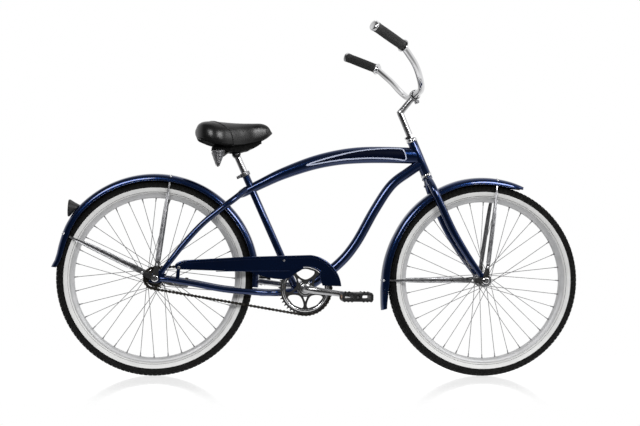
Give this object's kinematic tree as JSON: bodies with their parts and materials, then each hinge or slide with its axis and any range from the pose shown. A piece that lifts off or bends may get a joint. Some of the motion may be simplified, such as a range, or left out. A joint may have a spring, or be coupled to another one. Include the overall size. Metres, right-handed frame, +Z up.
{
  "type": "beach cruiser bicycle",
  "caption": "Beach cruiser bicycle with a coaster brake, high-rise handlebar, fenders, chain guard and a sprung saddle; it steers, rolls and pedals.",
  "frame": {"origin": "on the ground, half way between the two ends of the bicycle, in its middle plane", "axes": "+X towards the front wheel, +Y to the rider's left, +Z up"},
  "size_m": [1.819, 0.8032, 1.1699],
  "materials": {
    "navy_paint": "gloss enamel",
    "chrome": "polished",
    "steel": "zinc plated",
    "chain_steel": "oiled",
    "rim_alloy": "satin",
    "whitewall_tyre": "matte black tread with white side walls",
    "grip_rubber": "ribbed",
    "black_plastic": "satin",
    "black_steel": "satin black",
    "black_vinyl": "smooth padded vinyl",
    "red_lens": "clear red"
  },
  "bodies": {
    "frame_body": {"main_frame": "navy_paint", "head_bearing_lower": "chrome", "head_bearing_upper": "chrome", "bb_bearing_right": "steel", "bb_bearing_left": "steel", "seat_clamp": "steel", "rear_fender": "navy_paint", "rear_stay_upper": "chrome", "rear_stay_back": "chrome", "rear_reflector": "black_plastic", "rear_reflector_lens": "red_lens", "chain_guard": "navy_paint", "guard_bracket": "black_plastic", "rear_axle": "steel", "brake_arm": "chrome", "brake_arm_clip": "black_plastic", "brake_shoes": "steel", "rear_axle_nut_right": "chrome", "rear_axle_nut_left": "chrome", "rear_stay_lug_right": "black_plastic", "rear_stay_lug_left": "black_plastic", "chain": "chain_steel"},
    "fork_body": {"fork": "navy_paint", "head_locknut": "chrome", "front_fender": "navy_paint", "front_stay_upper": "chrome", "front_stay_back": "chrome", "front_axle": "steel", "front_axle_nut_right": "chrome", "front_axle_nut_left": "chrome", "front_stay_lug_right": "black_plastic", "front_stay_lug_left": "black_plastic"},
    "stem_body": {"stem": "chrome", "stem_expander": "steel", "stem_clamp_bolt": "steel"},
    "bar_body": {"handlebar": "chrome", "grip_right": "grip_rubber", "grip_left": "grip_rubber", "grip_cap_right": "chrome", "grip_cap_left": "chrome"},
    "front_wheel": {"front_tyre": "whitewall_tyre", "front_rim": "rim_alloy", "front_hub": "chrome"},
    "rear_wheel": {"rear_tyre": "whitewall_tyre", "rear_rim": "rim_alloy", "rear_hub": "chrome"},
    "driver": {"rear_cog": "chain_steel"},
    "crankset": {"crank": "chrome", "chainring": "steel", "pedal_spindle_right": "steel", "pedal_spindle_left": "steel"},
    "right_pedal": {"pedal_right": "black_plastic"},
    "left_pedal": {"pedal_left": "black_plastic"},
    "seatpost_body": {"seatpost": "chrome"},
    "saddle_base": {"saddle_clamp": "black_steel", "saddle_rails": "black_steel", "saddle_spring_right": "chrome", "saddle_spring_left": "chrome"},
    "saddle_top": {"saddle_pan": "black_steel", "saddle_cover": "black_vinyl"}
  },
  "joints": [
    {"name": "steering", "type": "hinge", "parent": "frame_body", "child": "fork_body", "pos_m": [0.37013, 0, 0.701], "axis": [-0.3987, 0, 0.9171], "range_deg": [-80, 80]},
    {"name": "stem_height", "type": "slide", "parent": "fork_body", "child": "stem_body", "axis": [-0.3987, 0, 0.9171], "range_m": [-0.015, 0.035]},
    {"name": "bar_tilt", "type": "hinge", "parent": "stem_body", "child": "bar_body", "pos_m": [0.32913, 0, 0.975], "axis": [0, 1, 0], "range_deg": [-15, 15]},
    {"name": "front_wheel_spin", "type": "hinge", "parent": "fork_body", "child": "front_wheel", "pos_m": [0.57413, 0, 0.3335], "axis": [0, 1, 0], "continuous": true},
    {"name": "rear_wheel_spin", "type": "hinge", "parent": "frame_body", "child": "rear_wheel", "pos_m": [-0.55987, 0, 0.3335], "axis": [0, 1, 0], "continuous": true},
    {"name": "crank_spin", "type": "hinge", "parent": "frame_body", "child": "crankset", "pos_m": [-0.04925, 0, 0.301], "axis": [0, 1, 0], "continuous": true, "deforming": ["chain"]},
    {"name": "driver_spin", "type": "hinge", "parent": "frame_body", "child": "driver", "pos_m": [-0.55987, 0, 0.3335], "axis": [0, 1, 0], "continuous": true},
    {"name": "pedal_right_spin", "type": "hinge", "parent": "crankset", "child": "right_pedal", "pos_m": [0.11437, -0.1415, 0.27975], "axis": [0, 1, 0], "continuous": true},
    {"name": "pedal_left_spin", "type": "hinge", "parent": "crankset", "child": "left_pedal", "pos_m": [-0.21288, 0.1415, 0.32225], "axis": [0, 1, 0], "continuous": true},
    {"name": "seatpost_height", "type": "slide", "parent": "frame_body", "child": "seatpost_body", "axis": [-0.4131, 0, 0.9107], "range_m": [-0.04, 0.09]},
    {"name": "saddle_tilt", "type": "hinge", "parent": "seatpost_body", "child": "saddle_base", "pos_m": [-0.28885, 0, 0.76], "axis": [0, 1, 0], "range_deg": [-12, 12]},
    {"name": "saddle_bounce", "type": "hinge", "parent": "saddle_base", "child": "saddle_top", "pos_m": [-0.21587, 0, 0.798], "axis": [0, -1, 0], "range_deg": [0, 4], "stiffness_Nm_per_rad": 900, "springref_deg": -1.15, "deforming": ["saddle_spring_right", "saddle_spring_left"]}
  ],
  "couplings": [
    {"joint": "driver_spin", "follows": "crank_spin", "ratio": 2.4444}
  ]
}
